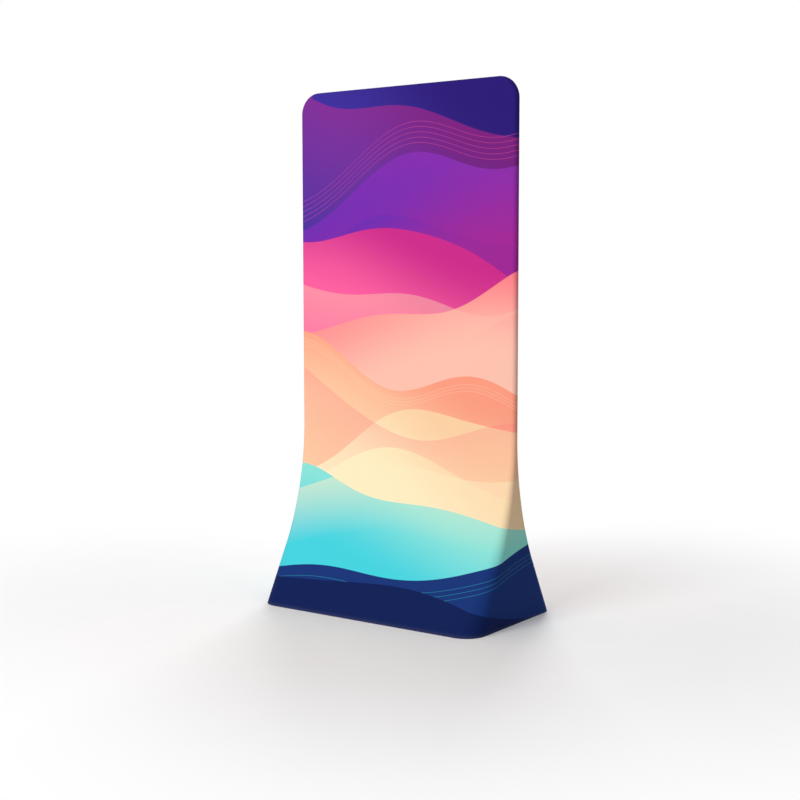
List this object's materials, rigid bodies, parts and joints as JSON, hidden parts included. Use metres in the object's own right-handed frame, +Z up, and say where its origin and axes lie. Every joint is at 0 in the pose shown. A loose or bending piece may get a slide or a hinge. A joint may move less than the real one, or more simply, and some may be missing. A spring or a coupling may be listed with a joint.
{
  "type": "fabric tower display",
  "caption": "Free-standing display tower: a zipped stretch-fabric cover, flat above and flared in depth at the foot, over a push-together tube frame on a flat base ring.",
  "frame": {"origin": "middle of the base at floor level", "axes": "+Z up; the printed front faces -Y; +X is to the right of someone who looks at the front"},
  "size_m": [1.212, 0.72, 2.438],
  "materials": {
    "cover_fabric": "stretch knit, printed in smooth colour bands, satin",
    "base_cloth": "plain dark stretch knit under the base",
    "zip_tape": "woven tape",
    "zip_coil": "moulded nylon coil",
    "zip_metal": "plated die casting",
    "frame_tube": "drawn tube, satin anodised",
    "base_steel": "flat bar with welded spigots, fine powder coat",
    "screw_steel": "zinc plated",
    "spring_steel": "spring strip and buttons"
  },
  "bodies": {
    "root": {"cover_front_wrap": "cover_fabric", "cover_back_panel": "cover_fabric", "cover_hem_strip": "cover_fabric", "cover_base_panel": "base_cloth", "zip_tape_upper": "zip_tape", "zip_tape_lower": "zip_tape", "zip_chain": "zip_coil", "zip_stops": "zip_metal", "zip_end_tabs": "zip_tape", "top_tube": "frame_tube", "top_corner_left": "frame_tube", "top_corner_right": "frame_tube", "upright_left": "frame_tube", "upright_right": "frame_tube", "fork_left": "frame_tube", "fork_right": "frame_tube", "cross_bar": "frame_tube", "leg_front_left": "frame_tube", "leg_front_right": "frame_tube", "leg_back_left": "frame_tube", "leg_back_right": "frame_tube", "base_end_left": "base_steel", "base_end_right": "base_steel", "base_bar_front": "base_steel", "base_bar_back": "base_steel", "lap_screws": "screw_steel", "snap_spring_backs": "spring_steel"},
    "zip_slider": {"zip_slider": "zip_metal"},
    "zip_pull": {"zip_pull": "zip_metal"},
    "snap_top_left": {"snap_top_left": "spring_steel"},
    "snap_corner_left": {"snap_corner_left": "spring_steel"},
    "snap_upright_left": {"snap_upright_left": "spring_steel"},
    "snap_bar_left": {"snap_bar_left": "spring_steel"},
    "snap_top_right": {"snap_top_right": "spring_steel"},
    "snap_corner_right": {"snap_corner_right": "spring_steel"},
    "snap_upright_right": {"snap_upright_right": "spring_steel"},
    "snap_bar_right": {"snap_bar_right": "spring_steel"},
    "snap_fork_front_left": {"snap_fork_front_left": "spring_steel"},
    "snap_base_front_left": {"snap_base_front_left": "spring_steel"},
    "snap_fork_front_right": {"snap_fork_front_right": "spring_steel"},
    "snap_base_front_right": {"snap_base_front_right": "spring_steel"},
    "snap_fork_back_left": {"snap_fork_back_left": "spring_steel"},
    "snap_base_back_left": {"snap_base_back_left": "spring_steel"},
    "snap_fork_back_right": {"snap_fork_back_right": "spring_steel"},
    "snap_base_back_right": {"snap_base_back_right": "spring_steel"}
  },
  "joints": [
    {"name": "zip_slide", "type": "slide", "parent": "root", "child": "zip_slider", "axis": [-1, 0, 0], "range_m": [0, 0.9804]},
    {"name": "zip_pull_hinge", "type": "hinge", "parent": "zip_slider", "child": "zip_pull", "pos_m": [0.49215, 0.34883, 0.02611], "axis": [0, 0.5409, -0.8411], "range_deg": [0, 160]},
    {"name": "snap_top_left_press", "type": "slide", "parent": "root", "child": "snap_top_left", "axis": [0, 0, 1], "range_m": [0, 0.0036], "stiffness_N_per_m": 2000},
    {"name": "snap_corner_left_press", "type": "slide", "parent": "root", "child": "snap_corner_left", "axis": [-1, 0, 0], "range_m": [0, 0.0036], "stiffness_N_per_m": 2000},
    {"name": "snap_upright_left_press", "type": "slide", "parent": "root", "child": "snap_upright_left", "axis": [-1, 0, 0], "range_m": [0, 0.0036], "stiffness_N_per_m": 2000},
    {"name": "snap_bar_left_press", "type": "slide", "parent": "root", "child": "snap_bar_left", "axis": [0, 0, 1], "range_m": [0, 0.0036], "stiffness_N_per_m": 2000},
    {"name": "snap_top_right_press", "type": "slide", "parent": "root", "child": "snap_top_right", "axis": [0, 0, 1], "range_m": [0, 0.0036], "stiffness_N_per_m": 2000},
    {"name": "snap_corner_right_press", "type": "slide", "parent": "root", "child": "snap_corner_right", "axis": [1, 0, 0], "range_m": [0, 0.0036], "stiffness_N_per_m": 2000},
    {"name": "snap_upright_right_press", "type": "slide", "parent": "root", "child": "snap_upright_right", "axis": [1, 0, 0], "range_m": [0, 0.0036], "stiffness_N_per_m": 2000},
    {"name": "snap_bar_right_press", "type": "slide", "parent": "root", "child": "snap_bar_right", "axis": [0, 0, 1], "range_m": [0, 0.0036], "stiffness_N_per_m": 2000},
    {"name": "snap_fork_front_left_press", "type": "slide", "parent": "root", "child": "snap_fork_front_left", "axis": [0.071, -0.97, 0.2327], "range_m": [0, 0.0036], "stiffness_N_per_m": 2000},
    {"name": "snap_base_front_left_press", "type": "slide", "parent": "root", "child": "snap_base_front_left", "axis": [0.0625, -0.8549, 0.515], "range_m": [0, 0.0036], "stiffness_N_per_m": 2000},
    {"name": "snap_fork_front_right_press", "type": "slide", "parent": "root", "child": "snap_fork_front_right", "axis": [-0.071, -0.97, 0.2327], "range_m": [0, 0.0036], "stiffness_N_per_m": 2000},
    {"name": "snap_base_front_right_press", "type": "slide", "parent": "root", "child": "snap_base_front_right", "axis": [-0.0625, -0.8549, 0.515], "range_m": [0, 0.0036], "stiffness_N_per_m": 2000},
    {"name": "snap_fork_back_left_press", "type": "slide", "parent": "root", "child": "snap_fork_back_left", "axis": [0.071, 0.97, 0.2327], "range_m": [0, 0.0036], "stiffness_N_per_m": 2000},
    {"name": "snap_base_back_left_press", "type": "slide", "parent": "root", "child": "snap_base_back_left", "axis": [0.0625, 0.8549, 0.515], "range_m": [0, 0.0036], "stiffness_N_per_m": 2000},
    {"name": "snap_fork_back_right_press", "type": "slide", "parent": "root", "child": "snap_fork_back_right", "axis": [-0.071, 0.97, 0.2327], "range_m": [0, 0.0036], "stiffness_N_per_m": 2000},
    {"name": "snap_base_back_right_press", "type": "slide", "parent": "root", "child": "snap_base_back_right", "axis": [-0.0625, 0.8549, 0.515], "range_m": [0, 0.0036], "stiffness_N_per_m": 2000}
  ]
}
